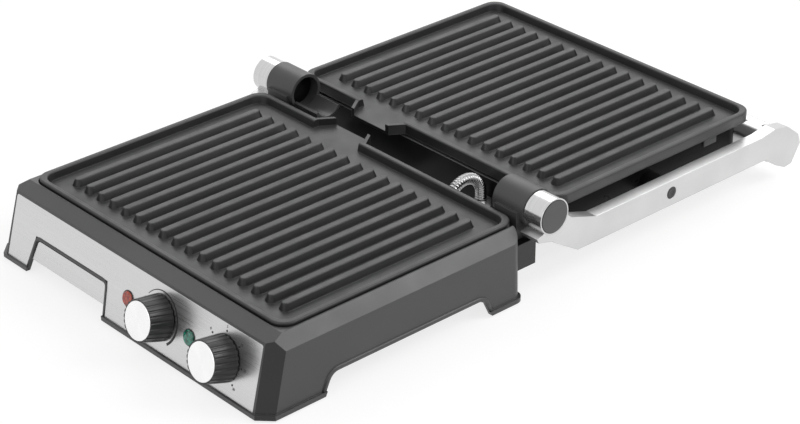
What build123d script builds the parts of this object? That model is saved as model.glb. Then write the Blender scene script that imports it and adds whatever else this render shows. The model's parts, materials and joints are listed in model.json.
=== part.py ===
from build123d import *
import os
from math import cos, pi, radians, sin, tan

# An electric contact grill, opened flat. Millimetres, +Z up, the table is z = 0.
# X runs along the hinge axis, which is at y = 0. The base lies towards -Y and the lid towards +Y.
os.makedirs("parts", exist_ok=True)

# Hinge
hinge_z = 63.3
hub_outer_x = 162.4
hub_length = 17.2
hub_radius = 14.2
sleeve_gap = 0.4
sleeve_length = 31.0
sleeve_radius = 15.0
sleeve_wall = 2.5
sleeve_end_wall = 9.0
hinge_pin_radius = 5.0
hinge_pin_reach = 14.0
running_clearance = 0.06
hub_cap_radius = 12.7
hub_cap_thickness = 1.8
hub_cap_proud = 0.4

# Grill plates
plate_half_width = 144.5
plate_length = 219.0
plate_inner_y = 20.5
plate_corner = 12.0
plate_floor = 2.5
lower_rib_top = 60.5
upper_rib_top = 62.7
rib_height = 5.5
rib_count = 17
rib_pitch = 15.0
rib_base_width = 9.5
rib_draft = 22.0
rib_edge_round = 0.9
rib_inner_y = 41.0
rib_length = 180.0
rim_width = 5.0
rim_above_ribs = 0.7
rim_round = 1.4
rim_draft = 14.0
spout_x = -48.0
spout_wall_width = 52.0
spout_tip_width = 35.0
spout_tip_y = 9.0
spout_wall = 4.0

# Base housing
housing_bottom_z = 1.5
housing_top_z = 58.5
housing_band_z = 49.3
housing_front_y = -267.5
housing_rear_y = -25.0
housing_front_slant = 14.3
housing_front_top_z = 54.5
housing_band_top_x = 146.4
housing_band_bottom_x = 155.2
housing_foot_x = 157.0
housing_wall = 2.6
housing_corner_chamfer = 10.0
housing_rear_round = 8.0
lip_height = 3.5
lip_proud = 1.5
well_gap = 0.8
deck_thickness = 2.5
side_arch_front_y = -214.5
side_arch_rear_y = -56.0
side_arch_height = 17.0
side_arch_lean = 8.0
side_arch_round = 9.0

# Front panel and its arch
panel_thickness = 0.8
panel_top_half = 143.5
panel_bottom_half = 144.5
panel_height = 51.0
panel_bottom_gap = 1.6
panel_corner = 2.0
arch_bottom_left = -119.0
arch_bottom_right = -25.0
arch_top_left = -112.0
arch_top_right = -27.5
arch_top_z = 28.6
arch_corner = 4.0
arch_lip = 2.0

# Controls, from left to right
knob_z = 28.5
thermostat_x = 36.2
timer_x = 107.2
knob_base_radius = 17.0
knob_face_radius = 15.3
knob_length = 18.8
knob_gap = 0.8
knob_flutes = 24
knob_flute_radius = 1.1
knob_cap_radius = 14.2
knob_cap_thickness = 1.4
knob_cap_proud = 0.3
shaft_radius = 3.0
shaft_in_knob = 14.0
shaft_in_body = 9.0
control_body_radius = 14.0
control_body_length = 24.0
bushing_radius = 4.6
lens_z = 27.5
power_lens_x = -0.3
ready_lens_x = 69.8
lens_radius = 5.6
lens_flange = 1.4
lens_dome = 1.6
lens_depth = 7.0
lamp_radius = 2.6
lamp_length = 11.0

# Heater pans and elements, measured from each plate
pan_sheet = 1.0
pan_depth = 14.0
pan_half_width = 131.0
pan_flange = 4.0
pan_corner = 14.0
pan_near_margin = 11.0
pan_far_margin = 18.0
element_radius = 3.3
element_gap = 0.2
element_bend = 18.0
element_outer_x = 112.0
element_middle_x = 40.0
element_end_x = 16.0
element_near_margin = 20.5
element_middle_margin = 56.5
element_far_margin = 21.5
element_tail = 9.0
element_hole_gap = 0.25
saddle_size = 9.0

# Underside, feet and screws
cover_z = 31.8
cover_thickness = 2.2
cover_gap = 0.6
leg_radius = 10.0
leg_x = 136.0
leg_front_y = -235.0
leg_rear_y = -40.0
foot_radius = 7.0
foot_peg_radius = 3.0
foot_peg = 4.0
screw_radius = 3.2
screw_head = 2.0
screw_shank_radius = 1.5
screw_length = 9.0
screw_pillar_radius = 4.0
screw_x = 143.0
screw_front_y = -196.0
screw_rear_y = -76.0

# Tub of the bottom cover that houses the controls
tub_left = -14.0
tub_right = 124.5
tub_rear_y = -214.0
tub_bottom_z = 5.0

# Drip tray
tray_side_gap = 4.6
tray_top_z = 25.8
tray_bottom_z = 13.0
tray_wall = 1.6
tray_rear_y = 13.0
tray_front_thickness = 2.4
tray_front_setback = 0.6
tray_front_gap = 1.0
tray_front_bottom_z = 12.3
tray_flange = 3.0
tray_flange_thickness = 1.5
rail_gap = 0.3
rail_thickness = 1.6

# Rear of the base
bracket_inner_x = 110.0
bracket_outer_x = 147.5
bracket_rear_y = -3.0
bracket_bottom_z = 20.0
bracket_top_z = 41.0
sleeve_foot_half_y = 7.0
sleeve_foot_inset = 4.0
trough_radius = 13.5
trough_wall = 2.2
trough_length = 27.0
trough_keel_y = -10.5
trough_keel = 2.0
trough_keel_bottom_z = 43.0

# Armoured lead between the base and the lid
conduit_x = 69.0
conduit_bend = 17.0
conduit_crest_z = 56.5
conduit_radius = 4.0
conduit_rib_height = 0.45
conduit_rib_count = 30
conduit_tail = 5.0
conduit_wall = 1.2
gland_radius = 4.9
gland_height = 7.0
gland_arm = 9.0

# Mains lead gland, without its lead
cord_gland_x = 20.0
cord_gland_z = 40.0
cord_gland_radius = 6.0
cord_gland_length = 9.0
cord_gland_bore = 3.6

# Arms and handle
arm_thickness = 10.4
arm_bottom_z = 26.0
arm_top_z = 47.4
arm_pivot_y = 127.0
arm_pivot_z = 36.8
grip_reach = 39.5
handle_top_z = 43.0
handle_screw_x = 145.0
handle_screw_setback = 23.0
handle_screw_radius = 3.0

# Float pivots between the arms and the lid
pivot_radius = 4.0
pivot_head_radius = 5.0
pivot_head = 1.6
boss_radius = 9.0
boss_gap = 0.5

# Lid
lid_half_width = 136.8
lid_inner_margin = 3.5
lid_outer_margin = 3.5
lid_shoulder_z = 26.0
lid_bottom_z = 3.5
lid_bottom_half_width = 112.0
lid_bottom_draw_in = 25.0
lid_wall = 2.4
lid_corner = 14.0
lid_frame_thickness = 2.2
lid_frame_proud = 1.6
pad_radius = 8.0
pad_x = 92.0
pad_inner_y = 68.0
pad_outer_y = 194.0

# Plate latches
latch_y = 198.0
latch_width = 14.0
latch_height = 7.5
latch_gap = 0.4
latch_proud = 1.0

# Worked out from the sizes above
tan_slant = tan(radians(housing_front_slant))
panel_normal = (0, -cos(radians(housing_front_slant)), sin(radians(housing_front_slant)))
plate_depth = rib_height + plate_floor
lower_seat_z = lower_rib_top - plate_depth
upper_seat_z = upper_rib_top - plate_depth
deck_z = lower_seat_z - pan_sheet
frame_z = upper_seat_z - pan_sheet
plate_middle_y = plate_inner_y + plate_length / 2
plate_outer_y = plate_inner_y + plate_length
well_half_width = plate_half_width + well_gap
well_front_y = -plate_outer_y - well_gap
arm_inner_x = hub_outer_x - arm_thickness
hub_inner_x = hub_outer_x - hub_length
sleeve_outer_x = hub_inner_x - sleeve_gap
sleeve_inner_x = sleeve_outer_x - sleeve_length
pan_near_y = plate_inner_y + pan_near_margin
pan_far_y = plate_outer_y - pan_far_margin
pan_length = pan_far_y - pan_near_y
element_near_y = pan_near_y + element_near_margin
element_middle_y = pan_far_y - element_middle_margin
element_far_y = pan_far_y - element_far_margin
lid_inner_y = plate_inner_y + lid_inner_margin
lid_outer_y = plate_outer_y - lid_outer_margin
arm_end_y = plate_outer_y + grip_reach
handle_screw_y = arm_end_y - handle_screw_setback
conduit_centre_z = conduit_crest_z - conduit_bend
tail_slot_width = 2 * (element_end_x + element_radius + 2)
tail_slot_length = element_tail + 1
screw_spots = [(sx * screw_x, y) for sx in (-1, 1) for y in (screw_front_y, screw_rear_y)]
leg_spots = [(sx * leg_x, y) for sx in (-1, 1) for y in (leg_front_y, leg_rear_y)]


def front_y(z):
    """Y of the slanted front face at height z."""
    return housing_front_y + (z - housing_bottom_z) * tan_slant


def panel_plane(x, z, raised=0.0):
    """A plane on the front face at (x, z), facing out of it and lifted by raised."""
    origin = Vector(x, front_y(z), z) + Vector(*panel_normal) * raised
    return Plane(origin=origin, x_dir=(1, 0, 0), z_dir=panel_normal)


def save(piece, label):
    """Label a finished piece and write its STEP file."""
    piece.label = label
    export_step(piece, f"parts/{label}.step")


# Front face outline, in the plane of the panel
panel_middle_z = housing_bottom_z + (panel_bottom_gap + panel_height / 2) * cos(radians(housing_front_slant))
panel_face = panel_plane(0, panel_middle_z)
slope_scale = 1 / cos(radians(housing_front_slant))


def on_panel(z):
    """Height along the panel, from its middle, of a point at height z."""
    return (z - panel_middle_z) * slope_scale


def arch_points(lip, low):
    """Corners of the arch from low up the panel, opened out by lip on its two sides and its top."""
    share = (on_panel(arch_top_z) - low) / (on_panel(arch_top_z) - on_panel(housing_bottom_z))
    top = on_panel(arch_top_z) + lip
    return [
        (arch_top_left - (arch_top_left - arch_bottom_left) * share - lip, low),
        (arch_top_left - lip, top),
        (arch_top_right + lip, top),
        (arch_top_right + (arch_bottom_right - arch_top_right) * share + lip, low),
    ]


arch_low = on_panel(housing_bottom_z) - 4 * lip_proud


# Base housing: outer body as a side outline crossed with a front outline
front_top_y = front_y(housing_front_top_z)
with BuildPart() as base_housing:
    with BuildSketch(Plane.YZ):
        with BuildLine():
            Polyline(
                (housing_front_y, housing_bottom_z),
                (front_top_y, housing_front_top_z),
                (well_front_y - housing_band_top_x + well_half_width, housing_top_z),
                (housing_rear_y, housing_top_z),
                (housing_rear_y, housing_bottom_z),
                close=True,
            )
        make_face()
    extrude(amount=housing_foot_x + lip_proud, both=True)
    with BuildSketch(Plane.XZ):
        with BuildLine():
            Polyline(
                (-housing_foot_x, housing_bottom_z),
                (-housing_band_bottom_x, housing_band_z),
                (-housing_band_top_x, housing_top_z),
                (housing_band_top_x, housing_top_z),
                (housing_band_bottom_x, housing_band_z),
                (housing_foot_x, housing_bottom_z),
                close=True,
            )
        make_face()
    extrude(amount=-2 * housing_front_y, both=True, mode=Mode.INTERSECT)
    slanted = [e for e in base_housing.edges() if abs(e.center().Z - (housing_bottom_z + housing_band_z) / 2) < 4]
    front_corners = [e for e in slanted if e.center().Y < housing_front_y / 2]
    rear_corners = [e for e in slanted if e.center().Y > housing_front_y / 2]
    chamfer(front_corners, housing_corner_chamfer)
    fillet(rear_corners, housing_rear_round)
    # Foot lip all round the bottom edge
    with BuildSketch(Plane.XY.offset(housing_bottom_z)):
        with BuildLine():
            lip_x = housing_foot_x + lip_proud
            lip_front = housing_front_y - lip_proud / 2
            cut = housing_corner_chamfer
            Polyline(
                (-lip_x, lip_front + cut),
                (-lip_x + cut, lip_front),
                (lip_x - cut, lip_front),
                (lip_x, lip_front + cut),
                (lip_x, housing_rear_y + lip_proud),
                (-lip_x, housing_rear_y + lip_proud),
                close=True,
            )
        make_face()
        fillet([v for v in vertices() if v.Y > housing_rear_y], housing_rear_round)
    extrude(amount=lip_height)
    # Hollow inside, open at the bottom
    with BuildSketch(Plane.XY.offset(housing_bottom_z)):
        with BuildLine():
            in_x = housing_foot_x - housing_wall
            in_front = housing_front_y + housing_wall
            Polyline(
                (-in_x, in_front + cut),
                (-in_x + cut, in_front),
                (in_x - cut, in_front),
                (in_x, in_front + cut),
                (in_x, housing_rear_y - housing_wall),
                (-in_x, housing_rear_y - housing_wall),
                close=True,
            )
        make_face()
    with BuildSketch(Plane.XY.offset(deck_z - deck_thickness)):
        with BuildLine():
            top_drop = deck_z - deck_thickness - housing_bottom_z
            side_drop = (housing_foot_x - housing_band_bottom_x) * top_drop / (housing_band_z - housing_bottom_z)
            up_x = in_x - side_drop
            up_front = in_front + top_drop * tan_slant
            Polyline(
                (-up_x, up_front + cut),
                (-up_x + cut, up_front),
                (up_x - cut, up_front),
                (up_x, up_front + cut),
                (up_x, housing_rear_y - housing_wall),
                (-up_x, housing_rear_y - housing_wall),
                close=True,
            )
        make_face()
    loft(ruled=True, mode=Mode.SUBTRACT)
    # Plate well and the opening for the heater pan
    with BuildSketch(Plane.XY.offset(deck_z)):
        with Locations((0, (well_front_y + housing_rear_y) / 2 + plate_corner)):
            RectangleRounded(
                2 * well_half_width,
                housing_rear_y - well_front_y + 2 * plate_corner,
                plate_corner + well_gap,
            )
    extrude(amount=housing_top_z, mode=Mode.SUBTRACT)
    with BuildSketch(Plane.XY.offset(deck_z)):
        with Locations((0, -pan_near_y - pan_length / 2)):
            RectangleRounded(2 * pan_half_width + 1, pan_length + 1, pan_corner)
        with Locations((0, -pan_near_y - pan_length)):
            Rectangle(tail_slot_width, 2 * tail_slot_length)
    extrude(amount=-2 * deck_thickness, mode=Mode.SUBTRACT)
    # Pillars that the cover's screws bite into
    with BuildSketch(Plane.XY.offset(cover_z)):
        with Locations(*screw_spots):
            Circle(screw_pillar_radius)
            Circle(screw_shank_radius, mode=Mode.SUBTRACT)
    extrude(amount=deck_z - deck_thickness - cover_z)
    # Arch for the tray, through the front and the rear wall
    with BuildSketch(panel_plane(0, panel_middle_z, 3 * lip_proud)):
        with BuildLine():
            Polyline(*arch_points(0, arch_low), close=True)
        make_face()
        fillet(vertices().group_by(Axis.Y)[-1], arch_corner)
    extrude(amount=-3 * (lip_proud + housing_wall), mode=Mode.SUBTRACT)
    with BuildSketch(Plane.XZ.offset(-housing_rear_y - lip_proud - 1)):
        with Locations(((arch_top_left + arch_top_right) / 2, arch_top_z / 2)):
            Rectangle(arch_top_right - arch_top_left, arch_top_z)
    extrude(amount=housing_wall + lip_proud + 2, mode=Mode.SUBTRACT)
    # Arches in the two sides
    with BuildSketch(Plane.YZ.offset(-housing_foot_x - 2 * lip_proud)):
        with BuildLine():
            Polyline(
                (side_arch_front_y, 0),
                (side_arch_front_y + side_arch_lean, side_arch_height),
                (side_arch_rear_y - side_arch_lean, side_arch_height),
                (side_arch_rear_y, 0),
                close=True,
            )
        make_face()
        fillet(vertices().group_by(Axis.Y)[-1], side_arch_round)
    extrude(amount=2 * housing_foot_x + 4 * lip_proud, mode=Mode.SUBTRACT)
    # Recess for the front panel
    with BuildSketch(panel_face):
        with BuildLine():
            Polyline(
                (-panel_bottom_half, -panel_height / 2),
                (-panel_top_half, panel_height / 2),
                (panel_top_half, panel_height / 2),
                (panel_bottom_half, -panel_height / 2),
                close=True,
            )
        make_face()
    extrude(amount=-panel_thickness, mode=Mode.SUBTRACT)
    # Holes for the bushings and the lamps
    for x in (thermostat_x, timer_x):
        with BuildSketch(panel_plane(x, knob_z)):
            Circle(bushing_radius + 0.4)
        extrude(amount=-3 * housing_wall, mode=Mode.SUBTRACT)
    for x in (power_lens_x, ready_lens_x):
        with BuildSketch(panel_plane(x, lens_z)):
            Circle(lens_radius - lens_flange + 0.2)
        extrude(amount=-3 * housing_wall, mode=Mode.SUBTRACT)
    # Brackets behind the rear wall that carry the hinge sleeves
    for side in (-1, 1):
        with BuildSketch(Plane.XY.offset(bracket_bottom_z)):
            with Locations((side * (bracket_inner_x + bracket_outer_x) / 2, (housing_rear_y + bracket_rear_y) / 2)):
                Rectangle(bracket_outer_x - bracket_inner_x, bracket_rear_y - housing_rear_y)
        extrude(amount=bracket_top_z - bracket_bottom_z)
    # Hole for the mains lead gland
    with BuildSketch(Plane.XZ.offset(-housing_rear_y - lip_proud - 1)):
        with Locations((cord_gland_x, cord_gland_z)):
            Circle(cord_gland_radius - 1)
    extrude(amount=housing_wall + lip_proud + 2, mode=Mode.SUBTRACT)
    # Slot for the lower plate latch in the left side
    with BuildSketch(Plane.YZ.offset(-housing_foot_x)):
        with Locations((-latch_y, deck_z - deck_thickness - latch_height / 2)):
            Rectangle(latch_width + 2 * latch_gap, latch_height + 2 * latch_gap)
    extrude(amount=4 * housing_wall, mode=Mode.SUBTRACT)
save(base_housing.part, "base_housing")

# Brushed steel front panel
with BuildPart() as front_panel:
    with BuildSketch(panel_plane(0, panel_middle_z, -panel_thickness)):
        with BuildLine():
            Polyline(
                (-panel_bottom_half, -panel_height / 2),
                (-panel_top_half, panel_height / 2),
                (panel_top_half, panel_height / 2),
                (panel_bottom_half, -panel_height / 2),
                close=True,
            )
        make_face()
        fillet(vertices(), panel_corner)
        with BuildLine():
            Polyline(*arch_points(arch_lip, arch_low), close=True)
        make_face(mode=Mode.SUBTRACT)
        for x in (thermostat_x, timer_x):
            with Locations((x, on_panel(knob_z))):
                Circle(bushing_radius + 0.4, mode=Mode.SUBTRACT)
        for x in (power_lens_x, ready_lens_x):
            with Locations((x, on_panel(lens_z))):
                Circle(lens_radius - lens_flange + 0.2, mode=Mode.SUBTRACT)
    extrude(amount=panel_thickness)
save(front_panel.part, "front_panel")

# Indicator lenses and the lamps behind them
for label, x in (("power_lens", power_lens_x), ("ready_lens", ready_lens_x)):
    with BuildPart() as lens:
        with BuildSketch(panel_plane(x, lens_z)):
            Circle(lens_radius)
        extrude(amount=lens_dome)
        fillet(lens.faces().sort_by(Axis.Y)[0].edges(), lens_dome * 0.8)
        with BuildSketch(panel_plane(x, lens_z)):
            Circle(lens_radius - lens_flange)
            Circle(lamp_radius + 0.3, mode=Mode.SUBTRACT)
        extrude(amount=-lens_depth)
    save(lens.part, label)

with BuildPart() as indicator_lamps:
    for x in (power_lens_x, ready_lens_x):
        with BuildSketch(panel_plane(x, lens_z)):
            Circle(lamp_radius)
        extrude(amount=-lamp_length)
save(indicator_lamps.part, "indicator_lamps")

# Thermostat and timer behind the panel, each with its turning shaft and knob
for name, x in (("thermostat", thermostat_x), ("timer", timer_x)):
    with BuildPart() as body:
        with BuildSketch(panel_plane(x, knob_z, -housing_wall)):
            Circle(control_body_radius)
        extrude(amount=-control_body_length)
        with BuildSketch(panel_plane(x, knob_z, -housing_wall)):
            Circle(bushing_radius)
        extrude(amount=housing_wall)
        with BuildSketch(panel_plane(x, knob_z)):
            Circle(shaft_radius + running_clearance)
        extrude(amount=-housing_wall - shaft_in_body - 1, mode=Mode.SUBTRACT)
    save(body.part, f"{name}_body")

    with BuildPart() as shaft:
        with BuildSketch(panel_plane(x, knob_z, -housing_wall - shaft_in_body)):
            Circle(shaft_radius)
        extrude(amount=housing_wall + shaft_in_body + knob_gap + shaft_in_knob)
    save(shaft.part, f"{name}_shaft")

    with BuildPart() as knob:
        for raised, radius in ((knob_gap, knob_base_radius), (knob_gap + knob_length, knob_face_radius)):
            with BuildSketch(panel_plane(x, knob_z, raised)):
                Circle(radius)
                with PolarLocations(radius + knob_flute_radius * 0.35, knob_flutes):
                    Circle(knob_flute_radius, mode=Mode.SUBTRACT)
        loft(ruled=True)
        with BuildSketch(panel_plane(x, knob_z, knob_gap + knob_length - knob_cap_thickness)):
            Circle(knob_cap_radius)
        extrude(amount=knob_cap_thickness + 1, mode=Mode.SUBTRACT)
        with BuildSketch(panel_plane(x, knob_z, knob_gap)):
            Circle(shaft_radius)
        extrude(amount=shaft_in_knob, mode=Mode.SUBTRACT)
    save(knob.part, f"{name}_knob")

    with BuildPart() as cap:
        with BuildSketch(panel_plane(x, knob_z, knob_gap + knob_length - knob_cap_thickness)):
            Circle(knob_cap_radius)
        extrude(amount=knob_cap_thickness + knob_cap_proud)
        fillet(cap.faces().sort_by(Axis.Y)[0].edges(), knob_cap_proud)
    save(cap.part, f"{name}_knob_cap")

# The two grill plates are mirror images, the lid's a little higher
for label, side, rib_top in (("lower_plate", -1, lower_rib_top), ("upper_plate", 1, upper_rib_top)):
    floor_z = rib_top - rib_height
    rim_z = rib_top + rim_above_ribs
    with BuildPart() as plate:
        with BuildSketch(Plane.XY.offset(floor_z - plate_floor)):
            with Locations((0, side * plate_middle_y)):
                RectangleRounded(2 * plate_half_width, plate_length, plate_corner)
        extrude(amount=rim_z - floor_z + plate_floor)
        with BuildSketch(Plane.XY.offset(floor_z)):
            with Locations((0, side * plate_middle_y)):
                RectangleRounded(
                    2 * (plate_half_width - rim_width) - 2,
                    plate_length - 2 * rim_width - 2,
                    plate_corner - rim_width / 2,
                )
        extrude(amount=rim_z - floor_z, taper=-rim_draft, mode=Mode.SUBTRACT)
        fillet(plate.faces().sort_by(Axis.Z)[-1].edges(), rim_round)
        # Spout towards the hinge
        half_in = spout_wall_width / 2
        half_tip = spout_tip_width / 2
        in_y = side * (plate_inner_y + rim_width + 3)
        wall_y = side * plate_inner_y
        tip_y = side * spout_tip_y
        with BuildSketch(Plane.XY.offset(floor_z - plate_floor)):
            with BuildLine():
                Polyline(
                    (spout_x - half_in - spout_wall, wall_y + side),
                    (spout_x - half_tip - spout_wall, tip_y),
                    (spout_x + half_tip + spout_wall, tip_y),
                    (spout_x + half_in + spout_wall, wall_y + side),
                    close=True,
                )
            make_face()
        extrude(amount=rim_z - floor_z + plate_floor - 0.4)
        with BuildSketch(Plane.XY.offset(floor_z)):
            with BuildLine():
                Polyline(
                    (spout_x - half_in, in_y),
                    (spout_x - half_in, wall_y),
                    (spout_x - half_tip, tip_y - side),
                    (spout_x + half_tip, tip_y - side),
                    (spout_x + half_in, wall_y),
                    (spout_x + half_in, in_y),
                    close=True,
                )
            make_face()
        extrude(amount=rib_height + rim_above_ribs + 1, mode=Mode.SUBTRACT)
        with BuildSketch(Plane.XY.offset(floor_z - plate_floor / 2)):
            with Locations((0, side * (rib_inner_y + rib_length / 2))):
                with GridLocations(rib_pitch, rib_length, rib_count, 1):
                    SlotOverall(rib_length, rib_base_width + plate_floor * tan(radians(rib_draft)), rotation=90)
        extrude(amount=rib_height + plate_floor / 2, taper=rib_draft)
        rib_tops = plate.faces().filter_by(lambda f: abs(f.center().Z - rib_top) < 0.01)
        fillet(rib_tops.edges(), rib_edge_round)
    save(plate.part, label)

# Heater pan and element under each plate
for label, side, seat_z in (("lower", -1, lower_seat_z), ("lid", 1, upper_seat_z)):
    pan_middle_y = side * (pan_near_y + pan_length / 2)
    element_z = seat_z - element_gap - element_radius
    with BuildPart() as pan:
        with BuildSketch(Plane.XY.offset(seat_z - pan_depth)):
            with Locations((0, pan_middle_y)):
                RectangleRounded(2 * pan_half_width, pan_length, pan_corner)
        extrude(amount=pan_depth)
        with BuildSketch(Plane.XY.offset(seat_z - pan_sheet)):
            with Locations((0, pan_middle_y)):
                RectangleRounded(2 * (pan_half_width + pan_flange), pan_length + 2 * pan_flange, pan_corner)
        extrude(amount=pan_sheet)
        with BuildSketch(Plane.XY.offset(seat_z - pan_depth + pan_sheet)):
            with Locations((0, pan_middle_y)):
                RectangleRounded(
                    2 * (pan_half_width - pan_sheet), pan_length - 2 * pan_sheet, pan_corner - pan_sheet
                )
        extrude(amount=pan_depth, mode=Mode.SUBTRACT)
        with BuildSketch(Plane.XY.offset(seat_z - pan_depth)):
            for saddle_x in (-element_outer_x, -element_middle_x, element_middle_x, element_outer_x):
                with Locations((saddle_x, side * (element_near_y + element_middle_y) / 2)):
                    Rectangle(saddle_size, saddle_size)
        extrude(amount=element_z - element_radius - seat_z + pan_depth)
        with BuildSketch(Plane.XZ.offset(-side * (pan_near_y + pan_length - 3 * pan_sheet))):
            for end_x in (-element_end_x, element_end_x):
                with Locations((end_x, element_z)):
                    Circle(element_radius + element_hole_gap)
                with Locations((end_x, element_z + element_radius)):
                    Rectangle(2 * (element_radius + element_hole_gap), 2 * element_radius)
        extrude(amount=-side * (pan_flange + 6 * pan_sheet), mode=Mode.SUBTRACT)
    save(pan.part, f"{label}_heater_pan")

    with BuildPart() as element:
        with BuildLine() as element_path:
            tail_y = side * (pan_near_y + pan_length + element_tail)
            FilletPolyline(
                (-element_end_x, tail_y, element_z),
                (-element_end_x, side * element_far_y, element_z),
                (-element_outer_x, side * element_far_y, element_z),
                (-element_outer_x, side * element_near_y, element_z),
                (-element_middle_x, side * element_near_y, element_z),
                (-element_middle_x, side * element_middle_y, element_z),
                (element_middle_x, side * element_middle_y, element_z),
                (element_middle_x, side * element_near_y, element_z),
                (element_outer_x, side * element_near_y, element_z),
                (element_outer_x, side * element_far_y, element_z),
                (element_end_x, side * element_far_y, element_z),
                (element_end_x, tail_y, element_z),
                radius=element_bend,
            )
        with BuildSketch(Plane(origin=(-element_end_x, tail_y, element_z), z_dir=(0, -side, 0))):
            Circle(element_radius)
        sweep()
    save(element.part, f"{label}_heating_element")

# Bottom cover of the base, with hollow legs, tray rails and a gap for the tray
tray_left = arch_top_left + tray_side_gap
tray_right = arch_top_right - tray_side_gap
cover_drop = cover_z - housing_bottom_z
cover_half = (
    housing_foot_x
    - housing_wall
    - cover_gap
    - (housing_foot_x - housing_band_bottom_x) * cover_drop / (housing_band_z - housing_bottom_z)
)
cover_front_y = housing_front_y + housing_wall * slope_scale + cover_gap + cover_drop * tan_slant
cover_rear_y = housing_rear_y - housing_wall - cover_gap
rail_z = tray_top_z - rail_gap - rail_thickness - tray_flange_thickness
with BuildPart() as base_bottom_cover:
    with BuildSketch(Plane.XY.offset(cover_z - cover_thickness)):
        with BuildLine():
            Polyline(
                (-cover_half, cover_front_y + cut),
                (-cover_half + cut, cover_front_y),
                (cover_half - cut, cover_front_y),
                (cover_half, cover_front_y + cut),
                (cover_half, cover_rear_y),
                (-cover_half, cover_rear_y),
                close=True,
            )
        make_face()
    extrude(amount=cover_thickness)
    with BuildSketch(Plane.XY.offset(cover_z)):
        with Locations(*screw_spots):
            Circle(screw_shank_radius)
    extrude(amount=-cover_thickness, mode=Mode.SUBTRACT)
    # Tub for the controls, open at its front where the housing closes it
    for inset, top, mode in ((0, cover_z, Mode.ADD), (cover_thickness, cover_z + 1, Mode.SUBTRACT)):
        front_shift = housing_wall * slope_scale + cover_gap - 4 * inset
        with BuildSketch(Plane.YZ.offset(tub_left + inset)):
            with BuildLine():
                Polyline(
                    (front_y(tub_bottom_z + inset) + front_shift, tub_bottom_z + inset),
                    (front_y(top) + front_shift, top),
                    (tub_rear_y - inset, top),
                    (tub_rear_y - inset, tub_bottom_z + inset),
                    close=True,
                )
            make_face()
        extrude(amount=tub_right - tub_left - 2 * inset, mode=mode)
    with BuildSketch(Plane.XY.offset(housing_bottom_z)):
        with Locations(*leg_spots):
            Circle(leg_radius)
            Circle(foot_peg_radius, mode=Mode.SUBTRACT)
    extrude(amount=cover_z - cover_thickness - housing_bottom_z)
    for x, outward in ((tray_left, -1), (tray_right, 1)):
        web_x = x + outward * (tray_flange + rail_gap + rail_thickness / 2)
        with BuildSketch(Plane.XZ.offset(-cover_rear_y)):
            with Locations((web_x, (rail_z + cover_z - cover_thickness) / 2)):
                Rectangle(rail_thickness, cover_z - cover_thickness - rail_z)
            with Locations((x + outward * (tray_flange + rail_gap + rail_thickness + 0.6) / 2, rail_z + rail_thickness / 2)):
                Rectangle(tray_flange + rail_gap + rail_thickness - 0.6, rail_thickness)
        extrude(amount=cover_rear_y - front_y(cover_z) - 3 * housing_wall)
save(base_bottom_cover.part, "base_bottom_cover")

with BuildPart() as base_feet:
    with BuildSketch(Plane.XY):
        with Locations(*leg_spots):
            Circle(foot_radius)
    extrude(amount=housing_bottom_z)
    with BuildSketch(Plane.XY.offset(housing_bottom_z)):
        with Locations(*leg_spots):
            Circle(foot_peg_radius)
    extrude(amount=foot_peg)
save(base_feet.part, "base_feet")

# Drip tray and its steel front
tray_width = tray_right - tray_left
tray_middle_x = (tray_left + tray_right) / 2
tray_front_y = front_y(tray_front_bottom_z) + (tray_front_setback + tray_front_thickness + 3) * slope_scale
with BuildPart() as drip_tray:
    with BuildSketch(Plane.YZ.offset(tray_left)):
        with BuildLine():
            Polyline(
                (front_y(tray_bottom_z) + (tray_front_setback + tray_front_thickness) * slope_scale, tray_bottom_z),
                (front_y(tray_top_z) + (tray_front_setback + tray_front_thickness) * slope_scale, tray_top_z),
                (tray_rear_y, tray_top_z),
                (tray_rear_y - 6, tray_bottom_z),
                close=True,
            )
        make_face()
    extrude(amount=tray_width)
    with BuildSketch(Plane.YZ.offset(tray_left + tray_wall)):
        with BuildLine():
            Polyline(
                (tray_front_y + tray_wall + 4, tray_bottom_z + tray_wall),
                (tray_front_y + tray_wall + 8, tray_top_z + 1),
                (tray_rear_y - tray_wall, tray_top_z + 1),
                (tray_rear_y - tray_wall - 6, tray_bottom_z + tray_wall),
                close=True,
            )
        make_face()
    extrude(amount=tray_width - 2 * tray_wall, mode=Mode.SUBTRACT)
    for x, outward in ((tray_left, -1), (tray_right, 1)):
        with BuildSketch(Plane.XZ.offset(-cover_rear_y)):
            with Locations((x + outward * tray_flange / 2, tray_top_z - tray_flange_thickness / 2)):
                Rectangle(tray_flange, tray_flange_thickness)
        extrude(amount=cover_rear_y - front_y(cover_z) - 4 * housing_wall)
save(drip_tray.part, "drip_tray")

with BuildPart() as drip_tray_front:
    with BuildSketch(panel_plane(0, panel_middle_z, -tray_front_setback - tray_front_thickness)):
        with BuildLine():
            Polyline(*arch_points(-tray_front_gap, on_panel(tray_front_bottom_z)), close=True)
        make_face()
        fillet(vertices().group_by(Axis.Y)[-1], arch_corner - tray_front_gap)
    extrude(amount=tray_front_thickness)
save(drip_tray_front.part, "drip_tray_front")

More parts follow.
